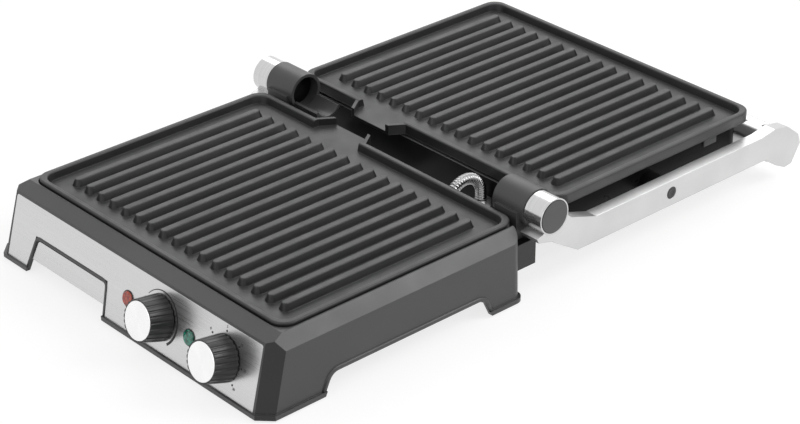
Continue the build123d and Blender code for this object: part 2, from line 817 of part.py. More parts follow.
# Hinge sleeves on feet, with their pins
for name, side in (("left", -1), ("right", 1)):
    with BuildPart() as sleeve:
        with BuildSketch(Plane.YZ.offset(side * sleeve_inner_x)):
            with Locations((0, hinge_z)):
                Circle(sleeve_radius)
        extrude(amount=side * sleeve_length)
        foot_height = hinge_z - bracket_top_z
        with BuildSketch(Plane.XY.offset(bracket_top_z)):
            with Locations((side * (sleeve_inner_x + sleeve_length / 2), bracket_rear_y - sleeve_foot_half_y)):
                Rectangle(sleeve_length - 2 * sleeve_foot_inset, 2 * sleeve_foot_half_y)
        extrude(amount=foot_height)
        with BuildSketch(Plane.YZ.offset(side * sleeve_inner_x)):
            with Locations((0, hinge_z)):
                Circle(sleeve_radius - sleeve_wall)
        extrude(amount=side * (sleeve_length - sleeve_end_wall), mode=Mode.SUBTRACT)
        with BuildSketch(Plane.YZ.offset(side * sleeve_inner_x)):
            with Locations((0, hinge_z)):
                Circle(hinge_pin_radius)
        extrude(amount=side * sleeve_length, mode=Mode.SUBTRACT)
    save(sleeve.part, f"hinge_sleeve_{name}")

with BuildPart() as hinge_pins:
    for side in (-1, 1):
        with BuildSketch(Plane.YZ.offset(side * (sleeve_outer_x - sleeve_end_wall))):
            with Locations((0, hinge_z)):
                Circle(hinge_pin_radius)
        extrude(amount=side * (sleeve_end_wall + sleeve_gap + hinge_pin_reach))
save(hinge_pins.part, "hinge_pins")

# Half-round drip guard that carries on from the left sleeve towards the spouts
with BuildPart() as drip_guard:
    with BuildSketch(Plane.YZ.offset(-sleeve_inner_x)):
        with BuildLine():
            guard_out = CenterArc((0, hinge_z), trough_radius, 205, 130)
            guard_in = CenterArc((0, hinge_z), trough_radius - trough_wall, 205, 130)
            Line(guard_out @ 0, guard_in @ 0)
            Line(guard_out @ 1, guard_in @ 1)
        make_face()
    extrude(amount=trough_length)
    keel_top_z = hinge_z - (trough_radius**2 - trough_keel_y**2) ** 0.5 + trough_wall / 2
    with BuildSketch(Plane.YZ.offset(-sleeve_inner_x)):
        with Locations((trough_keel_y, (trough_keel_bottom_z + keel_top_z) / 2)):
            Rectangle(trough_keel, keel_top_z - trough_keel_bottom_z)
    extrude(amount=trough_length)
save(drip_guard.part, "drip_guard")

# Screws that hold the bottom cover to the housing
with BuildPart() as base_screws:
    with BuildSketch(Plane.XY.offset(cover_z - cover_thickness)):
        with Locations(*screw_spots):
            Circle(screw_radius)
    extrude(amount=-screw_head)
    with BuildSketch(Plane.XY.offset(cover_z - cover_thickness)):
        with Locations(*screw_spots):
            Circle(screw_shank_radius)
    extrude(amount=cover_thickness + screw_length)
save(base_screws.part, "base_screws")

# Glands of the armoured lead, and the lead itself as an arch of ribbed tube
for name, side in (("base", -1), ("lid", 1)):
    wall_y = side * (-housing_rear_y if side < 0 else lid_inner_y)
    with BuildPart() as gland:
        with BuildSketch(Plane.XY.offset(conduit_centre_z - conduit_tail - gland_height)):
            with Locations((conduit_x, side * conduit_bend)):
                Circle(gland_radius)
            with Locations((conduit_x, (side * conduit_bend + wall_y) / 2)):
                Rectangle(gland_arm, abs(wall_y - side * conduit_bend))
        extrude(amount=gland_height)
        with BuildSketch(Plane.XY.offset(conduit_centre_z - conduit_tail - gland_height)):
            with Locations((conduit_x, side * conduit_bend)):
                Circle(conduit_radius - conduit_rib_height - conduit_wall)
        extrude(amount=gland_height, mode=Mode.SUBTRACT)
    save(gland.part, f"conduit_gland_{name}")


def conduit_ring(reach):
    """A plane across the lead, at a distance along its middle line from the base's gland."""
    bend_length = pi * conduit_bend
    turn = min(max((reach - conduit_tail) / bend_length, 0), 1) * 180
    drop = min(reach - conduit_tail, 0) - max(reach - conduit_tail - bend_length, 0)
    return Plane(
        origin=(
            conduit_x,
            -conduit_bend * cos(radians(turn)),
            conduit_centre_z + conduit_bend * sin(radians(turn)) + drop,
        ),
        x_dir=(1, 0, 0),
        z_dir=(0, sin(radians(turn)), cos(radians(turn))),
    )


conduit_length = 2 * conduit_tail + pi * conduit_bend
rib_step = conduit_length / conduit_rib_count
with BuildPart() as conduit:
    for i in range(conduit_rib_count):
        for share, swell in ((0.02, -1), (0.35, -1), (0.55, 1), (0.85, 1)):
            with BuildSketch(conduit_ring((i + share) * rib_step)):
                Circle(conduit_radius + swell * conduit_rib_height)
    loft(ruled=True)
    for i in range(2 * conduit_rib_count + 1):
        with BuildSketch(conduit_ring(i * rib_step / 2)):
            Circle(conduit_radius - conduit_rib_height - conduit_wall)
    loft(ruled=True, mode=Mode.SUBTRACT)
crest_inside = conduit_bend - conduit_radius - conduit_rib_height
print("lead: length", round(conduit_length, 1), "least gap between its ends", round(2 * crest_inside, 1))
save(conduit.part, "conduit")

# Gland where the mains lead comes out of the rear wall
with BuildPart() as cord_gland:
    with BuildSketch(Plane.XZ.offset(-housing_rear_y)):
        with Locations((cord_gland_x, cord_gland_z)):
            Circle(cord_gland_radius)
    extrude(amount=-cord_gland_length, taper=8)
    with BuildSketch(Plane.XZ.offset(-housing_rear_y)):
        with Locations((cord_gland_x, cord_gland_z)):
            Circle(cord_gland_radius - 1.2)
    extrude(amount=housing_wall)
    with BuildSketch(Plane.XZ.offset(-housing_rear_y + housing_wall)):
        with Locations((cord_gland_x, cord_gland_z)):
            Circle(cord_gland_bore)
    extrude(amount=-cord_gland_length - 2 * housing_wall, mode=Mode.SUBTRACT)
save(cord_gland.part, "cord_gland")

# Arms: hub, blade and grip end from one side outline, with the stop lug under the hub
for name, side in (("left", -1), ("right", 1)):
    with BuildPart() as arm:
        with BuildSketch(Plane.YZ.offset(side * arm_inner_x)):
            with BuildLine():
                Polyline(
                    (0, hinge_z - 10),
                    (-2, 43),
                    (26, arm_bottom_z),
                    (arm_end_y - 41, arm_bottom_z),
                    (arm_end_y - 29, 17),
                    (arm_end_y - 17, 11),
                    (arm_end_y - 9, 12),
                    (arm_end_y, 27),
                    (arm_end_y - 3, 36),
                    (arm_end_y - 17, 47),
                    (arm_end_y - 33, 50),
                    (arm_end_y - 49, arm_top_z),
                    (44, arm_top_z),
                    (18, 56),
                    (10, hinge_z),
                    close=True,
                )
            make_face()
            fillet(vertices().filter_by(lambda v: v.Y > arm_end_y - 80 or 40 < v.Y < 50), 5)
        extrude(amount=side * arm_thickness)
        with BuildSketch(Plane.YZ.offset(side * hub_inner_x)):
            with Locations((0, hinge_z)):
                Circle(hub_radius)
        extrude(amount=side * hub_length)
        with BuildSketch(Plane.YZ.offset(side * hub_inner_x)):
            with BuildLine():
                Polyline((-17, 50.5), (-15.2, 46.8), (2, 42.5), (8, 52), (-6, 54), close=True)
            make_face()
        extrude(amount=side * hub_length)
        with BuildSketch(Plane.YZ.offset(side * hub_inner_x)):
            with Locations((0, hinge_z)):
                Circle(hinge_pin_radius + running_clearance)
        extrude(amount=side * (hinge_pin_reach + 1), mode=Mode.SUBTRACT)
        with BuildSketch(Plane.YZ.offset(side * hub_outer_x)):
            with Locations((0, hinge_z)):
                Circle(hub_cap_radius)
        extrude(amount=-side * (hub_cap_thickness - hub_cap_proud), mode=Mode.SUBTRACT)
        with BuildSketch(Plane.YZ.offset(side * arm_inner_x)):
            with Locations((arm_pivot_y, arm_pivot_z)):
                Circle(pivot_radius)
        extrude(amount=side * arm_thickness, mode=Mode.SUBTRACT)
        with BuildSketch(Plane.YZ.offset(side * hub_outer_x)):
            with Locations((arm_pivot_y, arm_pivot_z)):
                Circle(pivot_head_radius)
        extrude(amount=-side * pivot_head, mode=Mode.SUBTRACT)
    save(arm.part, f"{name}_arm")

with BuildPart() as hub_caps:
    for side in (-1, 1):
        with BuildSketch(Plane.YZ.offset(side * (hub_outer_x - hub_cap_thickness + hub_cap_proud))):
            with Locations((0, hinge_z)):
                Circle(hub_cap_radius)
        extrude(amount=side * hub_cap_thickness)
save(hub_caps.part, "hub_caps")

# Handle bar between the arms, with a dark insert on the side towards the lid
with BuildPart() as handle_bar:
    with BuildSketch(Plane.YZ.offset(-arm_inner_x)):
        with BuildLine():
            Polyline(
                (arm_end_y - 37.5, 36),
                (arm_end_y - 31, handle_top_z),
                (arm_end_y - 17, handle_top_z),
                (arm_end_y - 7, 36),
                (arm_end_y - 4, 26),
                (arm_end_y - 9, 15),
                (arm_end_y - 17, 12.5),
                (arm_end_y - 27, 15),
                (arm_end_y - 36, 24),
                close=True,
            )
        make_face()
        fillet(vertices(), 3.5)
    extrude(amount=2 * arm_inner_x)
    for x in (-handle_screw_x, handle_screw_x):
        with BuildSketch(Plane.XY.offset(handle_top_z)):
            with Locations((x, handle_screw_y)):
                Circle(handle_screw_radius)
        extrude(amount=-screw_head, mode=Mode.SUBTRACT)
save(handle_bar.part, "handle_bar")

with BuildPart() as handle_screws:
    for x in (-handle_screw_x, handle_screw_x):
        with BuildSketch(Plane.XY.offset(handle_top_z - screw_head)):
            with Locations((x, handle_screw_y)):
                Circle(handle_screw_radius)
        extrude(amount=screw_head - 0.3)
save(handle_screws.part, "handle_screws")

# Lid cover: a dished shell, vertical near the plate and drawn in towards the table
lid_mid_y = (lid_inner_y + lid_outer_y) / 2
lid_depth = lid_outer_y - lid_inner_y
lid_low_depth = lid_depth - 2 * lid_bottom_draw_in
frame_bottom_z = frame_z - lid_frame_thickness
with BuildPart() as lid_cover:
    for inset, mode in ((0, Mode.ADD), (lid_wall, Mode.SUBTRACT)):
        with BuildSketch(Plane.XY.offset(lid_bottom_z + inset)):
            with Locations((0, lid_mid_y)):
                RectangleRounded(2 * (lid_bottom_half_width - inset), lid_low_depth - 2 * inset, lid_corner - inset)
        with BuildSketch(Plane.XY.offset(lid_shoulder_z)):
            with Locations((0, lid_mid_y)):
                RectangleRounded(2 * (lid_half_width - inset), lid_depth - 2 * inset, lid_corner - inset)
        loft(ruled=True, mode=mode)
        with BuildSketch(Plane.XY.offset(lid_shoulder_z)):
            with Locations((0, lid_mid_y)):
                RectangleRounded(2 * (lid_half_width - inset), lid_depth - 2 * inset, lid_corner - inset)
        extrude(amount=frame_bottom_z - lid_shoulder_z, mode=mode)
    # Pivot bosses on the two sides
    for side in (-1, 1):
        with BuildSketch(Plane.YZ.offset(side * (lid_half_width - lid_wall))):
            with Locations((arm_pivot_y, arm_pivot_z)):
                Circle(boss_radius)
        extrude(amount=side * (arm_inner_x - boss_gap - lid_half_width + lid_wall))
        with BuildSketch(Plane.YZ.offset(side * (lid_half_width - lid_wall))):
            with Locations((arm_pivot_y, arm_pivot_z)):
                Circle(pivot_radius + running_clearance)
        extrude(amount=side * 2 * arm_thickness, mode=Mode.SUBTRACT)
    # Window for the upper latch in the right side
    with BuildSketch(Plane.YZ.offset(lid_half_width - 2 * lid_wall)):
        with Locations((latch_y, frame_bottom_z - latch_height / 2)):
            Rectangle(latch_width + 2 * latch_gap, latch_height + 2 * latch_gap)
    extrude(amount=3 * lid_wall, mode=Mode.SUBTRACT)
save(lid_cover.part, "lid_cover")

with BuildPart() as pivot_bolts:
    for side in (-1, 1):
        with BuildSketch(Plane.YZ.offset(side * (lid_half_width + 1))):
            with Locations((arm_pivot_y, arm_pivot_z)):
                Circle(pivot_radius)
        extrude(amount=side * (hub_outer_x - lid_half_width - 1 - pivot_head))
        with BuildSketch(Plane.YZ.offset(side * (hub_outer_x - pivot_head))):
            with Locations((arm_pivot_y, arm_pivot_z)):
                Circle(pivot_head_radius)
        extrude(amount=side * pivot_head * 0.8)
save(pivot_bolts.part, "pivot_bolts")

# Frame of the lid that carries the heater pan and the upper plate
with BuildPart() as lid_frame:
    with BuildSketch(Plane.XY.offset(frame_bottom_z)):
        with Locations((0, lid_mid_y)):
            RectangleRounded(
                2 * (lid_half_width + lid_frame_proud), lid_depth + 2 * lid_frame_proud, lid_corner + lid_frame_proud
            )
        with Locations((0, pan_near_y + pan_length / 2)):
            RectangleRounded(2 * pan_half_width + 1, pan_length + 1, pan_corner, mode=Mode.SUBTRACT)
        with Locations((0, pan_near_y + pan_length)):
            Rectangle(tail_slot_width, 2 * tail_slot_length, mode=Mode.SUBTRACT)
    extrude(amount=lid_frame_thickness)
save(lid_frame.part, "lid_frame")

# Rubber pads under the lid, which it rests on when the grill lies open
pad_spots = [(sx * pad_x, y) for sx in (-1, 1) for y in (pad_inner_y, pad_outer_y)]
with BuildPart() as lid_rest_pads:
    with BuildSketch(Plane.XY):
        with Locations(*pad_spots):
            Circle(pad_radius)
    extrude(amount=lid_bottom_z)
save(lid_rest_pads.part, "lid_rest_pads")

# Spring latches that hold the plates, in the lid's right side and the base's left side
with BuildPart() as upper_plate_latch:
    with BuildSketch(Plane.YZ.offset(lid_half_width - lid_wall)):
        with Locations((latch_y, frame_bottom_z - latch_height / 2)):
            Rectangle(latch_width, latch_height)
    extrude(amount=lid_wall + latch_proud)
save(upper_plate_latch.part, "upper_plate_latch")

with BuildPart() as lower_plate_latch:
    with BuildSketch(Plane.YZ.offset(-housing_foot_x + housing_wall + 2)):
        with Locations((-latch_y, deck_z - deck_thickness - latch_height / 2)):
            Rectangle(latch_width, latch_height)
    extrude(amount=-housing_wall - 2)
save(lower_plate_latch.part, "lower_plate_latch")
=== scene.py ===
import json
import math

import bmesh
import bpy
from mathutils import Matrix, Vector


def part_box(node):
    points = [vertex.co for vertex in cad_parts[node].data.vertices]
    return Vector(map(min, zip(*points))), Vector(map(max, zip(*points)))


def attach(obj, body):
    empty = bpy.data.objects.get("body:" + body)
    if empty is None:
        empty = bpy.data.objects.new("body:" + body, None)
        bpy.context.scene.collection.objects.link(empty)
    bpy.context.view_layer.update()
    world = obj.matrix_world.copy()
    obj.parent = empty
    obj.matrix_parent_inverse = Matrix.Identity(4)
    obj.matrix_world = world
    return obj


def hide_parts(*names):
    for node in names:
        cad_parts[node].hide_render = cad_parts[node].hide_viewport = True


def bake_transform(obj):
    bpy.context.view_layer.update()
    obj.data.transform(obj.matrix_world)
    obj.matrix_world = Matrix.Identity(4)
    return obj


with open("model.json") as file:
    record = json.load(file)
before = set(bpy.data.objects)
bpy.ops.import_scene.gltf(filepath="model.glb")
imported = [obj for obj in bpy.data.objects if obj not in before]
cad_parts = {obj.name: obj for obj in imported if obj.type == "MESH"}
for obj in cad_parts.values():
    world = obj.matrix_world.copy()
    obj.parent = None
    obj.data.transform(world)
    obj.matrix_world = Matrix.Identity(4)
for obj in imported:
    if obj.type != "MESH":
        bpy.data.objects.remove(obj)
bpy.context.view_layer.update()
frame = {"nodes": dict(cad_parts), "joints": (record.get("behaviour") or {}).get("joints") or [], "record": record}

# Places that the frame gives. All lengths here are in metres
JOINTS = {joint["name"]: joint for joint in frame["joints"]}
HINGE = Vector(JOINTS["lid_hinge"]["pos_m"])
PIVOT = Vector(JOINTS["lid_float"]["pos_m"])
DIALS = {name: Vector(JOINTS[name + "_turn"]["pos_m"]) for name in ("thermostat", "timer")}
LENSES = ("power_lens", "ready_lens")
SIDES = (("left", -1), ("right", 1))

# Slanted front of the housing
SLANT = math.radians(14.3)
HOUSING_FRONT_Y = -0.2675
HOUSING_BOTTOM_Z = 0.0015
OUTWARD = Vector((0, -math.cos(SLANT), math.sin(SLANT)))
UPWARD = Vector((0, math.sin(SLANT), math.cos(SLANT)))

# Side of the housing: half width at the foot and at the pale band, and the arch as (y, z)
FOOT_X = 0.157
BAND_X = 0.1552
BAND_Z = 0.0493
SIDE_ARCH = ((-0.2145, 0.0015), (-0.2065, 0.017), (-0.064, 0.017), (-0.056, 0.0015))
SIDE_ARCH_ROUND = 0.009

# Opening of the tray in the front, as (x, z)
TRAY_ARCH = ((-0.1188, 0.0022), (-0.112, 0.0286), (-0.0275, 0.0286), (-0.02505, 0.0022))
TRAY_ARCH_ROUND = 0.004

# Beads along those edges: width, and section as (share of the width, height over the surface)
SIDE_BEAD_WIDTH = 0.0034
SIDE_BEAD = (
    (0, -0.001), (0, 0.0008), (0.12, 0.0012), (0.6, 0.0013), (0.88, 0.0009), (1, 0.0001), (1, -0.001),
)
TRAY_BEAD_WIDTH = 0.0024
TRAY_BEAD = (
    (0.02, -0.002), (0.02, 0.0001), (0.14, 0.0005), (0.7, 0.0006), (0.94, 0.0003), (1, 0.00005),
    (1, -0.002),
)
BEAD_ARC_STEPS = 8

# Knob caps: height of the knob's face over the panel, and the cap's own sizes
KNOB_FACE = 0.0195
CAP_RADIUS = 0.0142
CAP_DEPTH = 0.0014
CAP_EDGE = 0.0003
CAP_RIM = 0.0009
CAP_MIDDLE = 0.00025

# Marks round the dials, at angles in degrees, anticlockwise from the right
MARK_LIFT = 0.00012
ARC_RADIUS = 0.0196
ARC_FROM = 142
ARC_TO = -53
ARC_THIN_HALF = 0.00025
ARC_THICK_HALF = 0.001
ARC_STEPS = 60
START_DOT_ANGLE = 156
START_DOT_RADIUS = 0.0202
START_DOT_SIZE = 0.0006
TIMER_MARKS = ((140, "0"), (93, "5"), (46, "10"), (0, "20"), (-48, "30"))
TIMER_DOT_RADIUS = 0.0196
TIMER_DOT_SIZE = 0.0008
NUMBER_RADIUS = 0.0226
NUMBER_SIZE = 0.0028

# Bezels round the lenses
LENS_RADIUS = 0.0056
BEZEL_WIDTH = 0.0007
BEZEL_HEIGHT = 0.0005
BEZEL_CHAMFER = 0.0002

# Hubs and sleeves on the hinge axis
HUB_RADIUS = 0.0142
HUB_END = 0.1624
HUB_CAP_RADIUS = 0.0127
RING_INNER = HUB_CAP_RADIUS - 0.0002
RING_OUTER = HUB_CAP_RADIUS + 0.0004
RING_SUNK = 0.0006
RING_PROUD = 0.0001
SLEEVE_BORE = 0.0124
# A black disc set back in each sleeve's bore is painted shade
SHADE_DISC_SETBACK = 0.009
SHADE_DISC_LENGTH = 0.004

# Rim round the socket of a pivot screw, as (radius, height), and the lid's flange, a strip that paints a highlight
# line, as (outwards, up)
PIVOT_SOCKET = ((0.0016, 0), (0.0024, 0.0004), (0.0042, 0.0005), (0.0047, 0.0002), (0.0047, 0))
FLANGE_HIGHLIGHT_SECTION = (
    (-0.0004, 0.0001), (0.0016, 0.0001), (0.0018, 0.0004), (0.0016, 0.0007), (-0.0004, 0.0007),
)

# Armoured lead
LEAD_RADIUS = 0.00445
LEAD_RIB_DEPTH = 0.0009
LEAD_RIBS = 30
LEAD_RINGS_PER_RIB = 6
LEAD_SIDES = 32

# Tone patches and grain per metre, and where a noise is at its darkest and at its lightest
SLOW_PATCHES = 14
MEDIUM_PATCHES = 42
FINE_GRAIN = 1800
NOISE_LOW = 0.3
NOISE_HIGH = 0.7

# Where one finish passes into another: by place, by the way the surface faces, by distance; the darker tones
# behind the rear line, on the front corners and on the rib flanks are painted shade
REAR_Y = -0.0252
REAR_BLEND = 0.0004
BEHIND_ALL = 1.0
CORNER_SHADE_FACING = (-0.46, -0.36)
RIB_FLANK_SHADE_FACING = (0.35, 0.8)
POLISH_EDGE = (HUB_RADIUS + 0.0002, HUB_RADIUS + 0.0006)

# Camera, at the photograph's angle
CAMERA_AT = Vector((1.1901, -1.0816, 0.8851))
CAMERA_AZIMUTH = math.radians(47.8)
CAMERA_ELEVATION = math.radians(28.8)
CAMERA_LENS = 106.56
CAMERA_CLIP = (0.05, 30)
SENSOR = 36.0

# Floor and surrounding light
FLOOR_REACH = 6
FLOOR_TONE = 0.93
FLOOR_GLOW = 1.12
FLOOR_GLOW_SHARE = 0.7
WORLD_LIGHT = 0.5
WORLD_AS_SEEN = 1.0


# Places on the object
def on_front(x, z, lift=0.0):
    """A point of the slanted front face at x and height z, lifted off it."""
    y = HOUSING_FRONT_Y + (z - HOUSING_BOTTOM_Z) * math.tan(SLANT)
    return Vector((x, y, z)) + OUTWARD * lift


def front_matrix(x, z):
    """A frame on the front face: X to the right, Y up the slope, Z out of the face."""
    axes = Matrix((Vector((1, 0, 0)), UPWARD, OUTWARD)).transposed().to_4x4()
    return Matrix.Translation(on_front(x, z)) @ axes


def on_dial(dial, angle=0.0, radius=0.0, lift=0.0):
    """A frame over the front face, at this angle and radius from the dial's axis."""
    turn = math.radians(angle)
    offset = (radius * math.cos(turn), radius * math.sin(turn), lift)
    return front_matrix(DIALS[dial].x, DIALS[dial].z) @ Matrix.Translation(offset)


def on_side(side):
    """A function that gives a point of the housing's side at y and z, proud of it."""
    def place(y, z, proud):
        narrowing = (FOOT_X - BAND_X) * (z - HOUSING_BOTTOM_Z) / (BAND_Z - HOUSING_BOTTOM_Z)
        return side * (FOOT_X - narrowing + proud), y, z
    return place


def sideways_matrix(x, y, z, side):
    """A frame whose Z points out of the object's side."""
    return Matrix.Translation((x, y, z)) @ Matrix.Rotation(side * math.pi / 2, 4, "Y")


# Shader nodes
def new_material(name):
    mat = bpy.data.materials.new(name)
    mat.use_nodes = True
    tree = mat.node_tree
    shader = tree.nodes["Principled BSDF"]
    return mat, tree, shader


def node(tree, kind, **values):
    made = tree.nodes.new(kind)
    for key, value in values.items():
        setattr(made, key, value)
    return made


def calculate(tree, operation, first, second=None):
    """The result of a math node on one or two linked values."""
    made = node(tree, "ShaderNodeMath", operation=operation)
    tree.links.new(first, made.inputs[0])
    if second is not None:
        tree.links.new(second, made.inputs[1])
    return made.outputs[0]


def vector_calculate(tree, operation, vector, fixed):
    """The result of a vector math node on a linked vector and a fixed one."""
    made = node(tree, "ShaderNodeVectorMath", operation=operation)
    tree.links.new(vector, made.inputs[0])
    made.inputs[1].default_value = fixed
    return made.outputs["Vector"]


def position(tree, stretch=(1, 1, 1)):
    """Object coordinates, stretched."""
    coords = node(tree, "ShaderNodeTexCoord")
    mapping = node(tree, "ShaderNodeMapping")
    mapping.inputs["Scale"].default_value = stretch
    tree.links.new(coords.outputs["Object"], mapping.inputs["Vector"])
    return mapping.outputs["Vector"]


def split(tree, vector):
    parts = node(tree, "ShaderNodeSeparateXYZ")
    tree.links.new(vector, parts.inputs["Vector"])
    return parts.outputs


def distance_from_axis(tree, point, across):
    """Distance from the axis through point; across holds 1 for each direction square to the axis."""
    coords = node(tree, "ShaderNodeTexCoord")
    from_point = vector_calculate(tree, "SUBTRACT", coords.outputs["Object"], point)
    reach = node(tree, "ShaderNodeVectorMath", operation="LENGTH")
    tree.links.new(vector_calculate(tree, "MULTIPLY", from_point, across), reach.inputs[0])
    return reach.outputs["Value"]


def noise(tree, vector, scale, detail, rough=0.5):
    made = node(tree, "ShaderNodeTexNoise")
    made.inputs["Scale"].default_value = scale
    made.inputs["Detail"].default_value = detail
    made.inputs["Roughness"].default_value = rough
    tree.links.new(vector, made.inputs["Vector"])
    return made.outputs["Fac"]


def remap(tree, value, low, high, from_low=NOISE_LOW, from_high=NOISE_HIGH):
    made = node(tree, "ShaderNodeMapRange")
    made.inputs["From Min"].default_value = from_low
    made.inputs["From Max"].default_value = from_high
    made.inputs["To Min"].default_value = low
    made.inputs["To Max"].default_value = high
    tree.links.new(value, made.inputs["Value"])
    return made.outputs["Result"]


def below(tree, value, start, end):
    """1 where the value is under start, falling to 0 at end."""
    return remap(tree, value, low=1, high=0, from_low=start, from_high=end)


def ramp(tree, value, first, last, start=NOISE_LOW, end=NOISE_HIGH):
    """From the first colour, at start, to the last, at end."""
    made = node(tree, "ShaderNodeValToRGB")
    for element, place, colour in zip(made.color_ramp.elements, (start, end), (first, last)):
        element.position = place
        element.color = (*colour, 1)
    tree.links.new(value, made.inputs["Fac"])
    return made.outputs["Color"]


def greys(tree, value, dark, light):
    return ramp(tree, value, (dark,) * 3, (light,) * 3)


def bump(tree, shader, height, strength, distance, edge=0.0):
    """Bump the shader, over edges rounded by edge metres."""
    made = node(tree, "ShaderNodeBump")
    made.inputs["Strength"].default_value = strength
    made.inputs["Distance"].default_value = distance
    tree.links.new(height, made.inputs["Height"])
    if edge:
        round_edges = node(tree, "ShaderNodeBevel")
        round_edges.samples = 6
        round_edges.inputs["Radius"].default_value = edge
        tree.links.new(round_edges.outputs["Normal"], made.inputs["Normal"])
    tree.links.new(made.outputs["Normal"], shader.inputs["Normal"])


def tone_and_roughness_by_mask(tree, shader, mask, tones, rough):
    """The first tone and roughness where mask is 0, the second where it is 1."""
    colour = node(tree, "ShaderNodeMix", data_type="RGBA")
    tree.links.new(mask, colour.inputs["Factor"])
    gloss = node(tree, "ShaderNodeMix", data_type="FLOAT")
    tree.links.new(mask, gloss.inputs["Factor"])
    for i, side in enumerate(("A", "B")):
        tree.links.new(tones[i], colour.inputs[side])
        tree.links.new(rough[i], gloss.inputs[side])
    tree.links.new(colour.outputs["Result"], shader.inputs["Base Color"])
    tree.links.new(gloss.outputs["Result"], shader.inputs["Roughness"])


# Finishes; the housing and non-stick ones hold painted shade
def grained(name, dark, light, rough, grain=FINE_GRAIN, edge=0.0006, metallic=0.0, specular=0.5):
    """A moulded or coated surface: slow tone patches, fine grain and roughness that varies."""
    mat, tree, shader = new_material(name)
    where = position(tree)
    slow = noise(tree, where, SLOW_PATCHES, detail=4)
    medium = noise(tree, where, MEDIUM_PATCHES, detail=3)
    tree.links.new(ramp(tree, slow, dark, light), shader.inputs["Base Color"])
    tree.links.new(remap(tree, medium, rough - 0.05, rough + 0.06), shader.inputs["Roughness"])
    shader.inputs["Metallic"].default_value = metallic
    shader.inputs["Specular IOR Level"].default_value = specular
    bump(tree, shader, noise(tree, where, grain, detail=2), strength=0.35, distance=0.00004, edge=edge)
    return mat


def grained_grey(name, dark, light, rough, **values):
    return grained(name, (dark,) * 3, (light,) * 3, rough, **values)


def brushed(name, dark, light, rough, along=(4, 700, 700)):
    """Metal brushed along the axis whose stretch is small."""
    mat, tree, shader = new_material(name)
    lines = noise(tree, position(tree, along), scale=1, detail=4, rough=0.65)
    tree.links.new(ramp(tree, lines, dark, light), shader.inputs["Base Color"])
    tree.links.new(remap(tree, lines, rough - 0.06, rough + 0.08), shader.inputs["Roughness"])
    shader.inputs["Metallic"].default_value = 1.0
    shader.inputs["Anisotropic"].default_value = 0.5
    bump(tree, shader, lines, strength=0.12, distance=0.00005, edge=0.0005)
    return mat


def housing_finish_and_shade(name, rear_from=BEHIND_ALL):
    """Satin plastic, glossier on the front corners' chamfers and behind rear_from, where its tone is also darkened
    as painted shade.
    """
    mat, tree, shader = new_material(name)
    coords = node(tree, "ShaderNodeTexCoord")
    facing = split(tree, coords.outputs["Normal"])
    corner = calculate(tree, "MULTIPLY", calculate(tree, "ABSOLUTE", facing["X"]), facing["Y"])
    # Painted shade: the front corners' chamfers take a much darker tone
    chamfer_shade = below(tree, corner, *CORNER_SHADE_FACING)
    place = split(tree, coords.outputs["Object"])
    rear_edge = (rear_from - REAR_BLEND, rear_from + REAR_BLEND)
    # Painted shade: the housing behind rear_from takes a much darker tone
    rear_shade = remap(tree, place["Y"], 0, 1, *rear_edge)
    where = position(tree)
    slow = noise(tree, where, SLOW_PATCHES, detail=4)
    medium = noise(tree, where, MEDIUM_PATCHES, detail=3)
    tone_and_roughness_by_mask(
        tree, shader, calculate(tree, "MAXIMUM", chamfer_shade, rear_shade),
        tones=(
            ramp(tree, slow, (0.05, 0.05, 0.051), (0.062, 0.062, 0.063)),
            greys(tree, slow, 0.004, 0.008),
        ),
        rough=(remap(tree, medium, 0.36, 0.44), remap(tree, medium, 0.22, 0.28)),
    )
    fine = noise(tree, where, FINE_GRAIN, detail=2)
    bump(tree, shader, fine, strength=0.3, distance=0.00003, edge=0.0006)
    return mat


def plate_finish_and_shade(name):
    """Non-stick coat; on the flanks of the ribs the tone is darkened as painted shade and the roughness is lower.
    """
    mat, tree, shader = new_material(name)
    coords = node(tree, "ShaderNodeTexCoord")
    # Painted shade: the rib flanks take a darker tone than the tops
    flank_shade = below(tree, split(tree, coords.outputs["Normal"])["Z"], *RIB_FLANK_SHADE_FACING)
    where = position(tree)
    slow = noise(tree, where, SLOW_PATCHES, detail=4)
    medium = noise(tree, where, scale=60, detail=3)
    tone_and_roughness_by_mask(
        tree, shader, flank_shade,
        tones=(
            ramp(tree, slow, (0.03, 0.03, 0.031), (0.04, 0.04, 0.041)),
            greys(tree, slow, 0.008, 0.013),
        ),
        rough=(remap(tree, medium, 0.42, 0.52), remap(tree, medium, 0.34, 0.42)),
    )
    fine = noise(tree, where, scale=1500, detail=2)
    bump(tree, shader, fine, strength=0.5, distance=0.00006, edge=0.0007)
    return mat


def arm_finish(name):
    """Satin casting, polished bright round the hinge axis."""
    mat, tree, shader = new_material(name)
    polished = below(tree, distance_from_axis(tree, HINGE, (0, 1, 1)), *POLISH_EDGE)
    turned = noise(tree, position(tree, (2600, 20, 20)), scale=1, detail=3)
    where = position(tree)
    cast = noise(tree, where, scale=26, detail=3)
    tone_and_roughness_by_mask(
        tree, shader, polished,
        tones=(greys(tree, cast, 0.62, 0.7), greys(tree, turned, 0.56, 0.68)),
        rough=(remap(tree, cast, 0.3, 0.38), remap(tree, turned, 0.12, 0.18)),
    )
    shader.inputs["Metallic"].default_value = 0.9
    pitted = noise(tree, where, scale=120, detail=2)
    bump(tree, shader, pitted, strength=0.1, distance=0.00003, edge=0.0005)
    return mat


